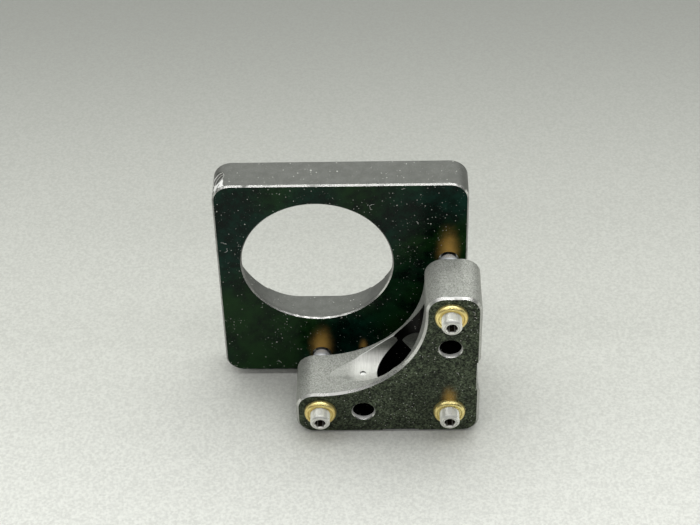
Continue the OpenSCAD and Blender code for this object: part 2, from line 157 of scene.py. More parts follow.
def swept(path, outward, radius, sides=10, taper=0.0):
    """The rings of a wire: a circle carried along the path, square to it. Its
    first spoke is the outward direction less its part along the path, its
    second their cross. The radius is less by taper * u ** 4, u from -1 to 1."""
    path, outward = np.asarray(path, float), np.asarray(outward, float)
    along = np.gradient(path, axis=0)
    along /= np.linalg.norm(along, axis=1, keepdims=True)
    out = outward - (outward * along).sum(1, keepdims=True) * along
    out /= np.linalg.norm(out, axis=1, keepdims=True)
    side = np.cross(along, out)
    a = TURN * np.arange(sides) / sides
    u = np.linspace(-1, 1, len(path))[:, None, None]
    r = radius * (1 - taper * u ** 4)
    spokes = np.cos(a)[None, :, None] * out[:, None] + np.sin(a)[None, :, None] * side[:, None]
    return path[:, None] + r * spokes


# ---------------------------------------------------------------- node wiring


def put(t, kind, given=None, **settings):
    """Adds a shader node with its settings and its inputs, values or sockets."""
    n = t.nodes.new("ShaderNode" + kind)
    for name, value in settings.items():
        setattr(n, name, value)
    for socket, value in (given or {}).items():
        if isinstance(value, bpy.types.NodeSocket):
            t.links.new(value, n.inputs[socket])
        else:
            n.inputs[socket].default_value = value
    return n


def calc(t, operation, *values):
    """The output of a Math node."""
    return put(t, "Math", dict(enumerate(values)), operation=operation).outputs[0]


def times(t, first, *others):
    """The product of two values or more."""
    for value in others:
        first = calc(t, "MULTIPLY", first, value)
    return first


def most(t, first, *others):
    """The greatest of two values or more."""
    for value in others:
        first = calc(t, "MAXIMUM", first, value)
    return first


def rest(t, share):
    """What a share leaves of 1."""
    return calc(t, "SUBTRACT", 1.0, share)


def apart(t, vector):
    """The x, y and z outputs of a vector."""
    return put(t, "SeparateXYZ", {0: vector}).outputs


def offset(t, place, centre):
    """The vector to a place from a centre."""
    return put(t, "VectorMath", {0: place, 1: centre}, operation="SUBTRACT").outputs[0]


def size_of(t, vector, factors):
    """The length of a vector whose parts are first weighed by factors."""
    weighed = put(t, "VectorMath", {0: vector, 1: factors}, operation="MULTIPLY").outputs[0]
    return put(t, "VectorMath", {0: weighed}, operation="LENGTH").outputs["Value"]


def noise(t, place, scale, detail=2.0, roughness=0.5):
    """A noise of a place, centred on a half."""
    return put(t, "TexNoise", {"Vector": place, "Scale": scale, "Detail": detail,
                               "Roughness": roughness}).outputs[0]


def ease(t, value, low, high, start=0.0, end=1.0):
    """A smooth step of a value from low to high."""
    return put(t, "MapRange", {0: value, 1: low, 2: high, 3: start, 4: end},
               interpolation_type="SMOOTHSTEP").outputs[0]


def tint(t, share, first, second):
    """Two colours mixed by a share."""
    return put(t, "Mix", {0: share, 6: first, 7: second}, data_type="RGBA").outputs[2]


def scaled(t, vector, factors, turn=(0, 0, 0)):
    """A vector turned, then stretched or squeezed along each axis."""
    return put(t, "Mapping", {"Vector": vector, "Scale": factors, "Rotation": turn},
               vector_type="POINT").outputs[0]


def effect(name, inputs, outputs, wire):
    """A shader node group. wire(tree, inputs) gives back a socket per output."""
    t = bpy.data.node_groups.new(name, "ShaderNodeTree")
    for label, value in inputs.items():
        kind = "NodeSocketVector" if value is None else "NodeSocketFloat"
        s = t.interface.new_socket(label, in_out="INPUT", socket_type=kind)
        if value is not None:
            s.default_value = value
    for label in outputs:
        t.interface.new_socket(label, in_out="OUTPUT", socket_type="NodeSocketFloat")
    given = t.nodes.new("NodeGroupInput").outputs
    end = t.nodes.new("NodeGroupOutput")
    for label, socket in wire(t, given).items():
        t.links.new(socket, end.inputs[label])
    return t


def use(t, group, **values):
    """An effect placed in a material, its inputs named with _ for a space."""
    n = t.nodes.new("ShaderNodeGroup")
    n.node_tree = group
    for label, value in values.items():
        socket = n.inputs[label.replace("_", " ")]
        if isinstance(value, bpy.types.NodeSocket):
            t.links.new(value, socket)
        else:
            socket.default_value = value
    return n.outputs


# ---------------------------------------------------------------- effects


def wire_specks(t, given):
    """Each cell of a lattice holds one grain or none, of a random size. Grains
    gather where a broad noise is high."""
    cells = put(t, "VectorMath", {0: given["Place"], 3: calc(t, "DIVIDE", 1.0, given["Spacing"])},
                operation="SCALE").outputs[0]
    v = put(t, "TexVoronoi", {"Vector": cells, "Scale": 1.0})
    chance = put(t, "SeparateColor", {0: v.outputs["Color"]})
    reach = times(t, given["Size"], ease(t, chance.outputs[1], 0.0, 1.0, 0.35, 1.0))
    inside = ease(t, calc(t, "DIVIDE", v.outputs["Distance"], reach), 1.0, 0.6)
    cloud = noise(t, given["Place"], 110.0)
    share = times(t, given["Share"], ease(t, cloud, 0.35, 0.68, 0.35, 2.4))
    return {"Mask": times(t, inside, calc(t, "LESS_THAN", chance.outputs[0], share))}


def wire_mottle(t, given):
    """Broad cloud, small patches and fine grain, each centred on a half."""
    inverse = calc(t, "DIVIDE", 1.0, given["Patch"])
    total = 0.0
    for factor, weight in ((0.22, 0.45), (1.0, 0.35), (5.0, 0.2)):
        cloud = noise(t, given["Place"], times(t, inverse, factor), 3.0, 0.55)
        total = calc(t, "ADD", total, times(t, ease(t, cloud, 0.3, 0.7), weight))
    return {"Shade": total}


def wire_blasted(t, given):
    """Overlapping dimples from glass beads, and the few that catch the light."""
    inverse = calc(t, "DIVIDE", 1.0, given["Grain"])
    v = put(t, "TexVoronoi", {"Vector": given["Place"], "Scale": inverse}, feature="SMOOTH_F1")
    rough = noise(t, given["Place"], times(t, inverse, 0.45))
    high = calc(t, "ADD", times(t, v.outputs["Distance"], 0.7), times(t, rough, 0.6))
    chance = put(t, "SeparateColor", {0: v.outputs["Color"]})
    return {"Height": high, "Glint": ease(t, chance.outputs[0], 0.86, 0.95),
            "Cell": chance.outputs[1]}


def wire_worn_and_lit_bevels(t, given):
    """Where a face leans at about 45 degrees and lies within a depth of the
    part's rear or front face, most where it looks up, which adds a painted
    highlight to the real wear. The wear comes and goes with a noise."""
    _, across, up = apart(t, put(t, "NewGeometry").outputs["True Normal"])
    lean = calc(t, "ABSOLUTE", across)
    y = apart(t, given["Place"])[1]
    rear = calc(t, "LESS_THAN", calc(t, "SUBTRACT", y, given["Rear"]), given["Depth"])
    front = calc(t, "LESS_THAN", calc(t, "SUBTRACT", given["Front"], y), given["Depth"])
    worn = noise(t, given["Place"], 420.0)
    keep = ease(t, calc(t, "ADD", worn, given["Wear"]), 0.45, 0.85)
    # The factor on what looks up paints a highlight on upward bevels.
    return {"Mask": times(t, ease(t, lean, 0.40, 0.52), ease(t, lean, 0.92, 0.84),
                          most(t, rear, times(t, front, 0.25)),
                          ease(t, up, -0.25, 0.40, 0.12, 1.0), keep)}


def wire_scuffs(t, given):
    """Thin scratches: specks in a space squeezed along one line and bent by a
    slow noise, so each grain is drawn out into a fine curved stroke."""
    bend = put(t, "TexNoise", {"Vector": given["Place"], "Scale": 60.0, "Detail": 0.0})
    shift = put(t, "VectorMath", {0: bend.outputs["Color"], 3: 0.012}, operation="SCALE").outputs[0]
    bent = put(t, "VectorMath", {0: given["Place"], 1: shift}, operation="ADD").outputs[0]
    strokes = [use(t, SPECKS, Place=scaled(t, bent, (0.05, 1.0, 1.0), turn),
                   Spacing=given["Spacing"], Size=0.045, Share=given["Share"])[0]
               for turn in ((0.3, 0.5, 0.9), (1.1, 2.2, 0.2))]
    return {"Mask": most(t, *strokes)}


def wire_rings(t, given):
    """Turning marks: a noise of the distance from the axis, which lies on Y."""
    x, y, z = apart(t, given["Place"])
    far = calc(t, "SQRT", calc(t, "ADD", times(t, x, x), times(t, z, z)))
    marks = [put(t, "TexNoise", {"W": calc(t, "DIVIDE", way, given["Pitch"]), "Scale": 1.0,
                                 "Detail": 2.0}, noise_dimensions="1D").outputs[0]
             for way in (far, y)]
    return {"Height": calc(t, "ADD", *marks), "Radius": far}


def wire_faces_and_shade(t, given):
    """Flat is 1 on faces square to Y and 0 on the sides and in bores along X
    and Z. The second output adds what looks down, once its normal's height is
    under Level, so that downward faces take the dark colour as painted shade."""
    _, across, up = apart(t, put(t, "NewGeometry").outputs["True Normal"])
    flat = ease(t, calc(t, "ABSOLUTE", across), 0.8, 0.97)
    down = ease(t, up, given["Level"], calc(t, "SUBTRACT", given["Level"], 0.35))
    return {"Flat": flat, "Dark": most(t, flat, down)}


def wire_painted_reflection(t, given):
    """A painted reflection of brass: a drawn-out spot round a centre on a face
    square to Y. It fades with the distance, in which height counts for less
    than half, and a mottle frays it."""
    away = size_of(t, offset(t, given["Place"], given["Centre"]), (1.0, 0.0, 0.45))
    mottle = use(t, MOTTLE, Place=given["Place"], Patch=0.0035)[0]
    frayed = calc(t, "ADD", away, times(t, mottle, times(t, given["Reach"], 0.25)))
    return {"Mask": ease(t, calc(t, "DIVIDE", frayed, given["Reach"]), 1.0, 0.15)}


SPECKS = effect("specks", {"Place": None, "Spacing": 0.001, "Size": 0.2, "Share": 0.4},
                ["Mask"], wire_specks)
MOTTLE = effect("mottle", {"Place": None, "Patch": 0.004}, ["Shade"], wire_mottle)
BLASTED = effect("blasted_skin", {"Place": None, "Grain": 0.0002},
                 ["Height", "Glint", "Cell"], wire_blasted)
WORN_AND_LIT_BEVELS = effect("worn_bevels", {"Place": None, "Wear": 0.5, "Rear": 0.0, "Front": 0.0,
                                "Depth": 0.001}, ["Mask"], wire_worn_and_lit_bevels)
FACES_AND_SHADE = effect("dark_faces", {"Level": -0.1}, ["Flat", "Dark"], wire_faces_and_shade)
PAINTED_REFLECTION = effect("brown_smear", {"Place": None, "Centre": None, "Reach": 0.005}, ["Mask"], wire_painted_reflection)
SCUFFS = effect("scuffs", {"Place": None, "Spacing": 0.004, "Share": 0.3}, ["Mask"], wire_scuffs)
RINGS = effect("turning_marks", {"Place": None, "Pitch": 0.0001}, ["Height", "Radius"], wire_rings)


# ---------------------------------------------------------------- materials


def begin(name):
    """A material's tree, its Principled node and its Object coordinates."""
    m = bpy.data.materials.new(name)
    m.use_nodes = True
    t = m.node_tree
    shader = t.nodes["Principled BSDF"]
    place = put(t, "TexCoord").outputs["Object"]
    return m, t, shader, place


def join(t, shader, **sockets):
    """Feeds the Principled node's inputs, named with _ for a space."""
    for label, value in sockets.items():
        socket = shader.inputs[label.replace("_", " ")]
        if isinstance(value, bpy.types.NodeSocket):
            t.links.new(value, socket)
        else:
            socket.default_value = value


def bump(t, height, depth, strength):
    """Relief from a height, its full depth in metres."""
    return put(t, "Bump", {"Height": height, "Distance": depth, "Strength": strength}).outputs[0]


# Bare aluminium where chips show, and the painted highlight on the base's lips.
BARE_AND_HIGHLIGHT = (0.80, 0.80, 0.78, 1)
# Rubbed bevels' colour: wear, and a painted highlight where they look up.
RUBBED_AND_LIT = (0.70, 0.70, 0.67, 1)
DUST = (0.62, 0.62, 0.58, 1)
# The two colours of the painted brown reflections of brass.
REFLECTION_BROWN = (0.13, 0.080, 0.03, 1)
REFLECTION_AMBER = (0.52, 0.31, 0.07, 1)


def within(t, place, centre, along, radius):
    """1 inside a cylinder through a centre, along the axis numbered 0, 1 or 2."""
    across = [0.0 if i == along else 1.0 for i in range(3)]
    return calc(t, "LESS_THAN", size_of(t, offset(t, place, tuple(centre)), across), radius)


def with_painted_reflection(t, place, face, node, up, reach, share=1.0):
    """A face's colour with a painted brown reflection of brass some way above
    the middle of a node.
    """
    reflection_mask = use(t, PAINTED_REFLECTION, Place=place, Centre=tuple(middle(node) + (0, 0, up)), Reach=reach)[0]
    return tint(t, times(t, reflection_mask, share), face, tint(t, reflection_mask, REFLECTION_BROWN, REFLECTION_AMBER))


def plate_face(t, place, fine_shade):
    """The plate's flat faces: plain black in front, and on the rear face a dark
    painted sheen of teal and green, standing in for reflected light, with
    painted brown reflections of brass."""
    broad = use(t, MOTTLE, Place=place, Patch=0.014)[0]
    hue = ease(t, noise(t, place, 28.0, 1.0), 0.42, 0.58)
    # A painted sheen: teal and green colour standing in for light reflected by the rear face.
    sheen = tint(t, hue, (0.002, 0.033, 0.021, 1), (0.007, 0.034, 0.006, 1))
    depth = calc(t, "ADD", times(t, broad, 0.75), times(t, fine_shade, 0.35))
    rear = tint(t, ease(t, depth, 0.2, 0.95), (0.0, 0.004, 0.002, 1), sheen)
    # Painted brown reflections above both balls and the left spring.
    for node, up, reach in (("top_ball", 4.4 * MM, 6.0 * MM), ("left_ball", 4.2 * MM, 6.0 * MM),
                            ("left_spring", 3.4 * MM, 2.4 * MM)):
        rear = with_painted_reflection(t, place, rear, node, up, reach)
    plain = tint(t, fine_shade, (0.003, 0.005, 0.004, 1), (0.008, 0.011, 0.008, 1))
    # The painted sheen and painted reflections are kept to the rear face.
    at_rear = calc(t, "LESS_THAN", apart(t, place)[1], PLATE_LOW[1] + 0.1 * MM)
    return tint(t, at_rear, plain, rear)


def set_screw_hole(t, place):
    """The mask of the set screw's tapped hole, on the diagonal of the plate's
    corner, its colour, light and dark bands by a sine of the depth that paint
    the highlight and shade of the thread's ridges on bare thread, and the mask
    of the chips round its mouth."""
    plate_corner_r, hole_r, hole_depth = 6 * MM, 2.5 * MM, 6 * MM
    diagonal = math.sqrt(0.5)
    inset = plate_corner_r * (1 - diagonal)
    screw = middle("optic_set_screw")
    mouth = (PLATE_LOW[0] + inset, screw[1] - 3.2 * MM, PLATE_HIGH[2] - inset)
    near = put(t, "VectorMath", {0: place, 1: mouth}, operation="DISTANCE").outputs["Value"]
    ragged = times(t, noise(t, place, 620.0, 3.0), 3.2)
    chipped = ease(t, calc(t, "ADD", times(t, near, 420.0), ragged), 2.62, 2.50)
    away = offset(t, place, tuple(screw))
    across, depth = (put(t, "VectorMath", {0: away, 1: (sign * diagonal, 0, diagonal)},
                         operation="DOT_PRODUCT").outputs["Value"] for sign in (1, -1))
    y = apart(t, away)[1]
    radius = calc(t, "SQRT", calc(t, "ADD", times(t, across, across), times(t, y, y)))
    tapped = times(t, calc(t, "LESS_THAN", radius, hole_r),
                   calc(t, "GREATER_THAN", depth, -hole_depth))
    # Light and dark bands along the hole: painted highlight and shade of the thread.
    ridge_shading = ease(t, calc(t, "SINE", times(t, depth, TURN / SET_SCREW_PITCH)), -0.6, 0.6)
    return tapped, tint(t, ridge_shading, (0.20, 0.20, 0.19, 1), (0.85, 0.85, 0.82, 1)), chipped


def smooth_anodise(name):
    """Satin black anodise on the plate: its flat faces are finer than its sides,
    which are painted paler, partly a coarser finish and partly painted light,
    while faces that look down take the dark colour as painted shade. Its bevels
    are rubbed and painted lighter where they look up, a painted highlight; the
    set screw has chipped its hole's mouth, whose thread bears painted shade and
    highlight on its ridges; and dust lies on it."""
    m, t, shader, place = begin(name)
    shade = use(t, MOTTLE, Place=place, Patch=0.0035)[0]
    fine_shade = use(t, MOTTLE, Place=place, Patch=0.0006)[0]
    # Faces that look down take the dark face colour: painted shade.
    dark = use(t, FACES_AND_SHADE, Level=-0.1)["Dark"]
    # The sides' paler colour is partly a coarser finish, partly painted light.
    side = tint(t, fine_shade, (0.115, 0.118, 0.108, 1), (0.165, 0.168, 0.157, 1))
    edge = {"Place": place, "Rear": PLATE_LOW[1], "Front": PLATE_HIGH[1], "Depth": 0.55 * MM}
    # Rubbed bevels: wear, with a painted highlight on those that look up.
    worn = use(t, WORN_AND_LIT_BEVELS, Wear=0.34, **edge)[0]
    tapped, thread, chipped = set_screw_hole(t, place)
    fine, large, tiny = (use(t, SPECKS, Place=place, Spacing=spacing, Size=size, Share=share)[0]
                         for spacing, size, share in ((0.0011, 0.19, 0.30), (0.0032, 0.11, 0.3),
                                                      (0.0006, 0.24, 0.16)))
    dust = most(t, fine, large, times(t, tiny, 0.35))
    scuff = use(t, SCUFFS, Place=place, Spacing=0.005, Share=0.12)[0]
    colour = tint(t, dark, side, plate_face(t, place, fine_shade))
    for share, over in ((worn, RUBBED_AND_LIT), (tapped, thread), (chipped, BARE_AND_HIGHLIGHT),
                        (times(t, scuff, 0.10), DUST), (dust, DUST)):
        colour = tint(t, share, colour, over)
    rough = calc(t, "ADD", ease(t, shade, 0.0, 1.0, 0.20, 0.28), times(t, rest(t, dark), 0.18))
    rough = most(t, calc(t, "SUBTRACT", rough, times(t, worn, 0.2)), times(t, dust, 0.9))
    metal = most(t, times(t, rest(t, dark), 0.5), times(t, worn, 0.8))
    metal = times(t, metal, rest(t, most(t, dust, chipped)))
    skin = use(t, BLASTED, Place=place, Grain=0.00012)["Height"]
    calm = rest(t, use(t, WORN_AND_LIT_BEVELS, Wear=1.0, **edge)[0])
    relief = calc(t, "ADD", times(t, skin, calm, 0.35), dust)
    join(t, shader, Base_Color=colour, Roughness=rough, Metallic=metal,
         Normal=bump(t, relief, 0.00002, 0.6))
    join(t, shader, Specular_IOR_Level=0.11)
    return m


def base_face(t, place, skin):
    """The base's flat faces: near black, with pale green grains, partly the
    blasted grain and partly painted glints, where a bead's cell, a coarser cell
    and a mottle agree, and one painted brown reflection of brass."""
    coarse = use(t, BLASTED, Place=place, Grain=0.0006)["Cell"]
    patch = use(t, MOTTLE, Place=place, Patch=0.0030)[0]
    # Pale grains: blasted grain and painted glints.
    grain_and_glints = times(t, skin["Cell"], calc(t, "ADD", coarse, 0.25),
                   ease(t, patch, 0.3, 0.75, 0.62, 1.0))
    face = tint(t, grain_and_glints, (0.0003, 0.0015, 0.001, 1), (0.195, 0.245, 0.150, 1))
    # A painted brown reflection of brass above the corner bushing.
    return with_painted_reflection(t, place, face, "corner_bushing", 5.2 * MM, 4.2 * MM, 0.7)


def base_bores(t, place):
    """Masks in the base: the side counterbore's open wall, the pale lips, which
    are painted highlights, and the deep bores, painted black as shade. A hair is
    added to each radius, so that the walls lie inside it."""
    hair = 0.04 * MM
    x, y, _ = apart(t, place)
    side, down = MOUNTS["base_hole_side"], MOUNTS["base_hole_down"]
    wall = within(t, place, side, 0, COUNTERBORE_R + hair)
    open_side = calc(t, "LESS_THAN", x, down[0] + COUNTERBORE_R)
    scoop = times(t, wall, open_side,
                  ease(t, x, down[0] - 17.9 * MM, down[0] - 12.9 * MM, 0.2, 1.0))
    # The lips round the bores are painted pale: painted highlights on their chamfers.
    lip = calc(t, "SUBTRACT", within(t, place, side, 0, COUNTERBORE_R + 0.35 * MM), wall)
    lip = times(t, lip, calc(t, "GREATER_THAN", y, side[1] + 3 * MM),
                ease(t, x, down[0] - 14.9 * MM, down[0] - 12.4 * MM), open_side)
    pit_shade = within(t, place, down, 2, COUNTERBORE_R + hair)
    deep = calc(t, "GREATER_THAN", y, BASE_LOW[1] + 1.4 * MM)
    for spring in ("top_spring", "left_spring"):
        bore = within(t, place, middle(spring), 1, SPRING_HOLE_R + hair / 2)
        pit_shade = most(t, pit_shade, times(t, deep, bore))
        lip = most(t, lip, times(t, bore, rest(t, deep)))
    return scoop, lip, pit_shade


def blasted_anodise(name):
    """Bead-blasted black anodise on the base: its sides are painted paler, partly a
    coarser finish and partly painted light, and faces that look down are painted
    near black as shade. Its faces are dark with pale grains, partly painted
    glints, its bevels are rubbed and painted lighter where they look up, the side
    counterbore is nearly bare, its lips pale as painted highlights and its deep
    bores painted black as shade, and it carries a few scratches and dust."""
    m, t, shader, place = begin(name)
    shade = use(t, MOTTLE, Place=place, Patch=0.005)[0]
    skin = use(t, BLASTED, Place=place, Grain=0.00040)
    sand = use(t, BLASTED, Place=place, Grain=0.00026)["Cell"]
    cell = calc(t, "ADD", times(t, sand, 0.8), times(t, shade, 0.2))
    scoop, lip, pit_shade = base_bores(t, place)
    streaks = noise(t, scaled(t, place, (2400, 260, 260)), 1.0, 3.0)
    # The sides' paler colour is partly a coarser finish, partly painted light.
    side = tint(t, cell, (0.20, 0.205, 0.185, 1), (0.53, 0.535, 0.50, 1))
    side = tint(t, scoop, side, tint(t, streaks, (0.60, 0.60, 0.56, 1), (0.95, 0.95, 0.91, 1)))
    # The lips take the bare colour as a painted highlight.
    side = tint(t, lip, side, BARE_AND_HIGHLIGHT)
    lie = use(t, FACES_AND_SHADE, Level=-0.1)
    # Faces that look down, not flat, take a near-black colour: painted shade.
    face = tint(t, lie["Flat"], (0.020, 0.022, 0.018, 1), base_face(t, place, skin))
    # On the counterbore's open wall the dark share is eased by 0.22, which lightens it as painted
    # light.
    dark = most(t, times(t, lie["Dark"], rest(t, times(t, scoop, 0.22))), pit_shade)
    edge = {"Place": place, "Rear": BASE_LOW[1], "Front": BASE_HIGH[1], "Depth": 0.72 * MM}
    # Rubbed bevels: wear, with a painted highlight on those that look up.
    worn = use(t, WORN_AND_LIT_BEVELS, Wear=0.36, **edge)[0]
    fine = use(t, SPECKS, Place=place, Spacing=0.0010, Size=0.20, Share=0.26)[0]
    scuff = use(t, SCUFFS, Place=place, Spacing=0.004, Share=0.3)[0]
    colour = tint(t, dark, side, face)
    # Deep bores painted near black: painted shade.
    for share, over in ((pit_shade, (0.0015, 0.0015, 0.001, 1)),
                        # Pale bead cells: painted glints.
                        (times(t, skin["Glint"], rest(t, pit_shade), 0.3), (0.30, 0.31, 0.28, 1)),
                        (worn, RUBBED_AND_LIT), (most(t, fine, times(t, scuff, 0.6)), DUST)):
        colour = tint(t, share, colour, over)
    rough = calc(t, "ADD", ease(t, shade, 0.0, 1.0, 0.30, 0.40), times(t, rest(t, dark), 0.12))
    rough = most(t, calc(t, "SUBTRACT", rough, times(t, worn, 0.2)), times(t, fine, 0.9))
    metal = times(t, rest(t, times(t, most(t, dark, lip), 0.9)), 0.6)
    metal = times(t, most(t, metal, times(t, worn, 0.8)), rest(t, fine))
    calm = rest(t, use(t, WORN_AND_LIT_BEVELS, Wear=1.0, **edge)[0])
    relief = times(t, calm, calc(t, "ADD", skin["Height"], times(t, streaks, scoop, 3.0)))
    join(t, shader, Base_Color=colour, Roughness=rough, Metallic=metal,
         Normal=bump(t, relief, 0.00004, 0.8))
    join(t, shader, Specular_IOR_Level=0.11)
    return m


def screw_roots_and_shade(t, place, radius, colour, rear):
    """Darker roots down a screw's thread, painted shade in its hexagon socket,
    and a ring of painted shade round the socket on the end face."""
    y = apart(t, place)[1]
    root = ease(t, radius, THREAD_R - 0.055 * MM, THREAD_R - THREAD_DEPTH)
    # The socket's inside painted dark: painted shade.
    socket = times(t, ease(t, radius, SOCKET_R * 1.16, SOCKET_R * 1.06),
                   ease(t, y, rear + 0.10 * MM, rear + 0.7 * MM))
    # A dark ring round the socket: painted shade standing for its chamfer.
    ring = times(t, ease(t, radius, SOCKET_R * 1.32, SOCKET_R * 1.38),
                 ease(t, radius, SOCKET_R * 1.52, SOCKET_R * 1.46),
                 calc(t, "LESS_THAN", y, rear + 0.05 * MM))
    for share, over in ((times(t, root, 0.15), (0.10, 0.095, 0.08, 1)),
                        (socket, (0.045, 0.034, 0.016, 1)),
                        (times(t, ring, 0.55), (0.12, 0.12, 0.10, 1))):
        colour = tint(t, share, colour, over)
    return colour


def turned_metal(name, centre, dark, light, rough, metallic, pitch, ring_depth, screw_rear=None):
    """Bright metal turned on an axis along Y: rings of tool marks and a thin
    film of oil and dirt that darkens it. A screw's rear end brings its darker
    thread roots and painted shade in and round its socket."""
    m, t, shader, place = begin(name)
    local = put(t, "Mapping", {"Vector": place, "Location": (-centre[0], 0, -centre[2])}).outputs[0]
    rings = use(t, RINGS, Place=local, Pitch=pitch)
    shade = use(t, MOTTLE, Place=place, Patch=0.0018)[0]
    colour = tint(t, times(t, shade, times(t, rings["Height"], 0.9)), light, dark)
    if screw_rear is not None:
        colour = screw_roots_and_shade(t, place, rings["Radius"], colour, screw_rear)
    dust = times(t, use(t, SPECKS, Place=place, Spacing=0.0012, Size=0.10, Share=0.25)[0], 0.8)
    join(t, shader, Base_Color=tint(t, dust, colour, DUST),
         Roughness=ease(t, shade, 0.0, 1.0, rough * 0.8, rough * 1.25),
         Metallic=times(t, metallic, rest(t, dust)),
         Normal=bump(t, rings["Height"], ring_depth, 0.7))
    return m


def plain_metal(name, dark, light, rough, patch=0.001, metallic=1.0, depth=0.000006):
    """Small metal or plastic parts: drawn, ground or oxided, with uneven film."""
    m, t, shader, place = begin(name)
    shade = use(t, MOTTLE, Place=place, Patch=patch)[0]
    specks = use(t, SPECKS, Place=place, Spacing=0.0012, Size=0.10, Share=0.3)[0]
    skin = use(t, BLASTED, Place=place, Grain=0.0001)["Height"]
    colour = tint(t, times(t, specks, 0.8), tint(t, shade, dark, light), DUST)
    join(t, shader, Base_Color=colour, Normal=bump(t, skin, depth, 0.6),
         Roughness=ease(t, shade, 0.0, 1.0, rough * 0.75, rough * 1.3))
    join(t, shader, Metallic=metallic)
    return m


def finish_node(node, material):
    """Gives a CAD node its finish, by its material slots."""
    for s in frame["nodes"][node].material_slots:
        s.material = material


finish_node("front_plate", smooth_anodise("satin_black_anodise"))
finish_node("base_bracket", blasted_anodise("blasted_black_anodise"))
STEEL, BRASS = {}, {}
for spot in ("top", "left", "corner"):
    at = middle(spot + "_screw")
    BRASS[spot] = turned_metal(
        spot + "_brass", at, (0.84, 0.60, 0.19, 1), (1.0, 0.90, 0.42, 1), 0.30,
        metallic=0.85, pitch=0.35 * MM, ring_depth=0.001 * MM)
    finish_node(spot + "_ball", plain_metal(
        spot + "_ball_steel", (0.78, 0.84, 0.92, 1), (1.0, 1.0, 1.0, 1), 0.34, 0.002,
        metallic=0.45, depth=0.000001))
    STEEL[spot] = turned_metal(
        spot + "_screw_steel", at, (0.86, 0.86, 0.80, 1), (1.0, 1.0, 0.95, 1), 0.31,
        metallic=0.6, pitch=0.09 * MM, ring_depth=0.004 * MM,
        screw_rear=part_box(spot + "_screw")[0][1])
seat_steel = plain_metal("ground_seat_steel", (0.35, 0.35, 0.34, 1), (0.60, 0.60, 0.58, 1), 0.25)
for node in ("cone_seat", "vee_seat", "flat_seat"):
    finish_node(node, seat_steel)
pin_steel = plain_metal("ground_pin_steel", (0.45, 0.45, 0.44, 1), (0.75, 0.75, 0.73, 1), 0.2)
for node in ("upper_base_pin", "lower_base_pin", "upper_plate_pin", "lower_plate_pin"):
    finish_node(node, pin_steel)
finish_node("set_screw_tip", plain_metal(
    "worn_nylon", (0.62, 0.60, 0.52, 1), (0.82, 0.80, 0.74, 1), 0.5, metallic=0.0, depth=0.00002))


# ---------------------------------------------------------------- new pieces


def adjuster_screw(spot):
    """A fine-pitch adjuster screw: a broached hexagon and a bevelled end, one
    long sixty-degree thread, and the neck that carries the ball."""
    low, high = (np.array(c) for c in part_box(spot + "_screw"))
    x, _, z = (low + high) / 2
    r, rear, tip = (high[0] - low[0]) / 2, low[1], high[1]
    deep, neck, neck_r = 4.5 * MM, tip - 1.87 * MM, 2.1 * MM
    rows = [(rear + deep + 0.9 * MM, 0.02 * SOCKET_R, 0, 1, 1), (rear + deep, SOCKET_R, 0, 1, 1),
            (rear + 0.35 * MM, SOCKET_R, 0, 1, 1), (rear + 0.02 * MM, SOCKET_R * 1.17, 0, 1, 0),
            (rear, SOCKET_R * 1.22, 0, 1, 0), (rear, r - 0.62 * MM, 0, 1, 0),
            (rear + 0.03 * MM, r - 0.56 * MM, 0, 1, 0)]
    rows += thread_rows(rear + 0.6 * MM, neck - 0.6 * MM, r, THREAD_DEPTH, THREAD_PITCH, 6).tolist()
    rows += [(neck, r - 0.6 * MM, 0, 1, 0), (neck, neck_r, 0, 1, 0),
             (tip, neck_r, 0, 1, 0), (tip, 0.02 * MM, 0, 1, 0)]
    points, faces = turned(rows, 60, (x, 0, z), (0, 1, 0), (1, 0, 0))
    make_piece(spot + "_adjuster", points, faces, STEEL[spot], spot + "_screw",
               [spot + "_screw"], crease=28)


def flanged_bushing(spot, brass):
    """A brass bushing with a domed flange: along y the flange's radius is the
    quarter of an ellipse, then it falls into the recess round the bore."""
    low, high = (np.array(c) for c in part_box(spot + "_bushing"))
    x, _, z = (low + high) / 2
    rear, front, face = low[1], high[1], BASE_LOW[1]
    bore, sleeve, rim = 3.225 * MM, 4.75 * MM, (high[0] - low[0]) / 2
    lip, start, floor = 4.15 * MM, face - 0.25 * MM, rear + 0.35 * MM
    a = np.radians(np.linspace(90, 0, 13))
    dome = np.stack([start - (start - rear) * np.sin(a), lip + (rim - lip) * np.cos(a)], axis=1)
    recess = [(front, bore), (floor, bore), (floor, lip - 0.35 * MM),
              (rear + 0.1 * MM, lip - 0.15 * MM)]
    outside = [(face, rim), (face, sleeve), (front - 0.4 * MM, sleeve), (front, sleeve - 0.4 * MM)]
    profile = np.vstack([recess, dome, outside])
    rows = np.hstack([profile, np.zeros((len(profile), 1)), np.ones((len(profile), 1)),
                      np.zeros((len(profile), 1))])
    points, faces = turned(rows, 72, (x, 0, z), (0, 1, 0), (1, 0, 0), hollow=True)
    make_piece(spot + "_brass_bushing", points, faces, brass, "base",
               [spot + "_bushing"], crease=40)


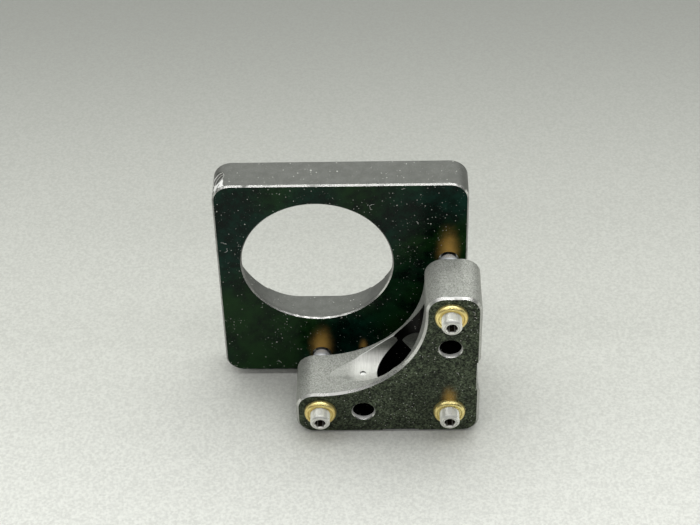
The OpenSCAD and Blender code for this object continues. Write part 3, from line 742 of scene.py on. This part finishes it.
def retaining_screw():
    """The optic's set screw, on the diagonal of the plate's corner: a hexagon
    at its outer end, a coarse thread, and the bore for its nylon tip."""
    low, high = (np.array(c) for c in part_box("optic_set_screw"))
    mid, radius = (low + high) / 2, 2.38 * MM
    axis = np.array([-1, 0, 1]) / math.sqrt(2)
    reach = (high[0] - low[0]) / math.sqrt(2) - radius
    bevel, half, bore_r, bore_end = 0.4 * MM, 1.19 * MM, 1.23 * MM, 2.06 * MM - reach
    rows = [(bore_end, 0.02 * MM, 0, 1, 0), (bore_end, bore_r, 0, 1, 0),
            (-reach, bore_r, 0, 1, 0), (-reach, radius - bevel, 0, 1, 0)]
    rows += thread_rows(-reach + bevel, reach - bevel, radius, 0.42 * MM, SET_SCREW_PITCH,
                        12).tolist()
    rows += [(reach, radius - bevel, 0, 1, 0), (reach, half * 1.2, 0, 1, 0),
             (reach - 0.2 * MM, half, 0, 1, 1), (reach - 2.4 * MM, half, 0, 1, 1),
             (reach - 2.8 * MM, 0.02 * MM, 0, 1, 1)]
    points, faces = turned(rows, 48, mid, axis, (0, 1, 0))
    steel = plain_metal("black_oxide_steel", (0.03, 0.03, 0.032, 1), (0.10, 0.10, 0.10, 1), 0.35)
    make_piece("retaining_screw", points, faces, steel, "optic_set_screw",
               ["optic_set_screw"], crease=28)


def wound_spring(node, across, material):
    """An extension spring along Y: a hook, close turns of a helix, a hook.
    The hooks are arcs about the cross pins, in the plane of Y and the wire's
    start; the coil is radius * (-cos, sin) of the turn about its axis. The wire
    is made as three pieces, a third each, none riding on a body."""
    low, high = (np.array(c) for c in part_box(node))
    mid, wire, hook, coil, turns = (low + high) / 2, 0.6 * MM, 1.4 * MM, 1.7 * MM, 20
    sweep, arc_points, turn_points = 195, 28, 32
    start, stop = low[1] + hook + wire / 2, high[1] - hook - wire / 2
    lead = hook + 2 * wire
    v, w = ((0, 0, 1), (1, 0, 0)) if across == "z" else ((-1, 0, 0), (0, 0, 1))
    frame3 = np.array([(0, 1, 0), v, w], float)
    a = np.radians(np.linspace(75, 75 + sweep, arc_points))[:, None]
    first_out = np.hstack([np.cos(a), np.sin(a), 0 * a])
    k = np.linspace(0, turns, turns * turn_points + 1)[:, None]
    turn_out = np.hstack([0 * k, -np.cos(TURN * k), np.sin(TURN * k)])
    run = lead + (stop - start - 2 * lead) * k / turns
    b = np.radians(np.linspace(-90, sweep - 90, arc_points))[:, None]
    last_out = np.hstack([np.cos(b), np.sin(b), 0 * b])
    far = np.array([stop - start, 0, 0])
    path = np.vstack([hook * first_out, np.hstack([run, 0 * run, 0 * run]) + coil * turn_out,
                      far + hook * last_out])
    path = path @ frame3 + np.array([mid[0], start, mid[2]])
    outward = np.vstack([first_out, turn_out, last_out]) @ frame3
    rings = swept(path, outward, wire / 2 * 0.98, 10)
    cuts = np.linspace(0, len(path) - 1, 4).astype(int)
    level = [start, path[cuts[1], 1], path[cuts[2], 1], stop]
    chain = ("base", "top_spring", "left_spring", "plate")
    for k, third in enumerate(("rear", "middle", "front")):
        points, faces = capped(rings[cuts[k]:cuts[k + 1] + 1], path[cuts[k:k + 2]])
        ends = [(mid[0], y, mid[2]) for y in level[k:k + 2]]
        make_piece(f"{node}_{third}_coils", points, faces, material,
                   (chain[k], chain[k + 1], *ends), [node])


for spot in ("top", "left", "corner"):
    adjuster_screw(spot)
    flanged_bushing(spot, BRASS[spot])
retaining_screw()
spring_steel = plain_metal("spring_steel", (0.40, 0.34, 0.26, 1), (0.66, 0.60, 0.50, 1), 0.25)
wound_spring("top_spring", "z", spring_steel)
wound_spring("left_spring", "x", spring_steel)


def lay_lint(name, body, face_y, strands):
    """Lint that clings to a face square to Y. Each strand is (x, z, size, turn,
    sweep): an arc of that size and sweep, turned in the face, that wanders by a
    sine of twice its length and lifts off the face in its middle."""
    sets, faces, count, steps = [], [], 0, 40
    u = np.linspace(0, 1, steps)
    for x, z, size, turn, sweep in strands:
        a = turn + sweep * (u - 0.5)
        across = size * (np.cos(a) - math.cos(turn)) + 0.12 * size * np.sin(2 * TURN * u)
        up = size * (np.sin(a) - math.sin(turn))
        off = face_y - (0.05 + 0.10 * np.sin(math.pi * u)) * MM
        path = np.stack([x + across, off, z + up], axis=1)
        rings = swept(path, np.tile([0.0, -1.0, 0.0], (steps, 1)), 0.05 * MM, 6, 0.8)
        points, cells = capped(rings, path[[0, -1]])
        sets.append(points)
        faces += [[i + count for i in f] for f in cells]
        count += len(points)
    fluff = plain_metal(name + "_fluff", (0.60, 0.60, 0.56, 1), (0.85, 0.85, 0.82, 1), 0.8,
                        metallic=0.0, depth=0.00001)
    make_piece(name, np.vstack(sets), faces, fluff, body)


left, right, top = PLATE_LOW[0], PLATE_HIGH[0], PLATE_HIGH[2]
lay_lint("plate_lint", "plate", PLATE_LOW[1], [
    (right - 30.9 * MM, top - 8.6 * MM, 1.1 * MM, 2.9, 3.4),
    (right - 15.9 * MM, top - 15.4 * MM, 1.4 * MM, 0.4, 0.9),
    (right - 20.5 * MM, top - 1.6 * MM, 0.8 * MM, 1.9, 1.6),
    (left + 2.6 * MM, top - 23.0 * MM, 1.8 * MM, 1.2, 1.1),
    (left + 3.4 * MM, top - 26.5 * MM, 0.9 * MM, -0.6, 2.4),
    (left + 18.0 * MM, top - 76.0 * MM, 0.9 * MM, 0.9, 2.0)])
lay_lint("base_lint", "base", BASE_LOW[1], [
    (BASE_LOW[0] + 1.9 * MM, BASE_LOW[2] + 15.2 * MM, 1.3 * MM, 2.2, 1.6),
    (BASE_HIGH[0] - 2.4 * MM, BASE_HIGH[2] - 6.4 * MM, 1.0 * MM, 0.3, 2.2),
    (BASE_HIGH[0] - 4.1 * MM, BASE_HIGH[2] - 3.3 * MM, 0.5 * MM, 1.1, 2.0),
    (BASE_HIGH[0] - 1.6 * MM, BASE_HIGH[2] - 4.2 * MM, 0.4 * MM, 2.6, 2.4),
    (BASE_HIGH[0] - 2.0 * MM, BASE_HIGH[2] - 8.3 * MM, 0.6 * MM, 0.9, 1.8),
    (BASE_HIGH[0] - 7.0 * MM, BASE_LOW[2] + 26.6 * MM, 0.7 * MM, 0.5, 2.1)])


# ---------------------------------------------------------------- studio


def lay_floor():
    """The pale paper that the mount stands on, lighter towards the front and
    darker far behind the mount: painted light falloff.
    """
    m, t, shader, place = begin("pale_paper")
    y = apart(t, place)[1]
    grain = noise(t, place, 1100.0, 3.0, 0.6)
    # The colour gradient from front to back is painted light falloff.
    near = tint(t, ease(t, y, 0.03, -0.09), (0.625, 0.63, 0.59, 1), (0.79, 0.795, 0.755, 1))
    colour = tint(t, ease(t, y, 0.0, 0.26), near, (0.31, 0.315, 0.295, 1))
    colour = tint(t, ease(t, grain, 0.3, 0.7, 0.0, 0.28), colour, (0.25, 0.25, 0.23, 1))
    join(t, shader, Base_Color=colour, Normal=bump(t, grain, 0.00004, 0.3))
    join(t, shader, Roughness=0.9, Specular_IOR_Level=0.2)
    n, half_side = 25, 3.0
    x, y = np.meshgrid(*[np.linspace(-half_side, half_side, n)] * 2)
    points = np.stack([x.ravel(), y.ravel(), np.full(x.size, BASE_LOW[2])], axis=1)
    i = np.arange(n - 1)
    c = (i[:, None] * n + i[None, :]).ravel()
    mesh = bpy.data.meshes.new("floor")
    mesh.from_pydata(points.tolist(), [], np.stack([c, c + 1, c + n + 1, c + n], axis=1).tolist())
    mesh.materials.append(m)
    floor = bpy.data.objects.new("floor", mesh)
    bpy.context.collection.objects.link(floor)


def hang_lamp(name, place, aim, size, radiance):
    """A soft rectangular lamp facing a point, its brightness given as radiance."""
    data = bpy.data.lights.new(name, "AREA")
    data.shape, data.size, data.size_y = "RECTANGLE", size[0], size[1]
    data.energy = radiance * math.pi * size[0] * size[1]
    lamp = bpy.data.objects.new(name, data)
    lamp.location = place
    lamp.rotation_euler = (Vector(aim) - Vector(place)).to_track_quat("-Z", "Y").to_euler()
    bpy.context.collection.objects.link(lamp)


def light_room():
    """The room's own light: dim behind the camera, brighter ahead and overhead."""
    world = bpy.data.worlds.new("room")
    world.use_nodes = True
    t = world.node_tree
    _, ahead, above = apart(t, put(t, "TexCoord").outputs["Generated"])
    room = times(t, ease(t, above, 0.0, 0.35, 0.4, 1.08), ease(t, ahead, -0.15, 0.15, 0.06, 1.0))
    back = times(t, ease(t, ahead, 0.15, 0.55), ease(t, above, 0.10, 0.30, 0.0, 0.30))
    high = times(t, ease(t, ahead, -0.10, 0.15), ease(t, above, 0.70, 0.90, 0.0, 1.3))
    lit = t.nodes["Background"]
    lit.inputs["Color"].default_value = (0.98, 1.0, 0.97, 1)
    t.links.new(calc(t, "ADD", calc(t, "ADD", room, back), high), lit.inputs["Strength"])
    bpy.context.scene.world = world


def stand_camera():
    """The camera, a little right of the mount's axis and well above it."""
    az, el, roll, away = math.radians(1.533), math.radians(41.633), math.radians(-1.622), 0.5627
    aim = Vector((0.010583, -0.0015, 0.000055))
    ahead = Vector((-math.cos(el) * math.sin(az), math.cos(el) * math.cos(az), -math.sin(el)))
    level = Vector((math.cos(az), math.sin(az), 0))
    over = level.cross(ahead)
    right = math.cos(roll) * level + math.sin(roll) * over
    up = -math.sin(roll) * level + math.cos(roll) * over
    data = bpy.data.cameras.new("camera")
    data.lens, data.sensor_width = 90.41, 36
    camera = bpy.data.objects.new("camera", data)
    camera.matrix_world = Matrix.Translation(aim - ahead * away) @ Matrix(
        (right, up, -ahead)).transposed().to_4x4()
    bpy.context.collection.objects.link(camera)
    bpy.context.scene.camera = camera


lay_floor()
hang_lamp("front_softbox", (0, -0.62, 0.67), (0, 0, 0), (1.9, 0.08), 5.4)
hang_lamp("overhead_strip", (0, -0.16, 0.78), (0, 0, 0), (2.0, 0.11), 3.6)
light_room()
bpy.context.scene.view_settings.view_transform = "Standard"
stand_camera()
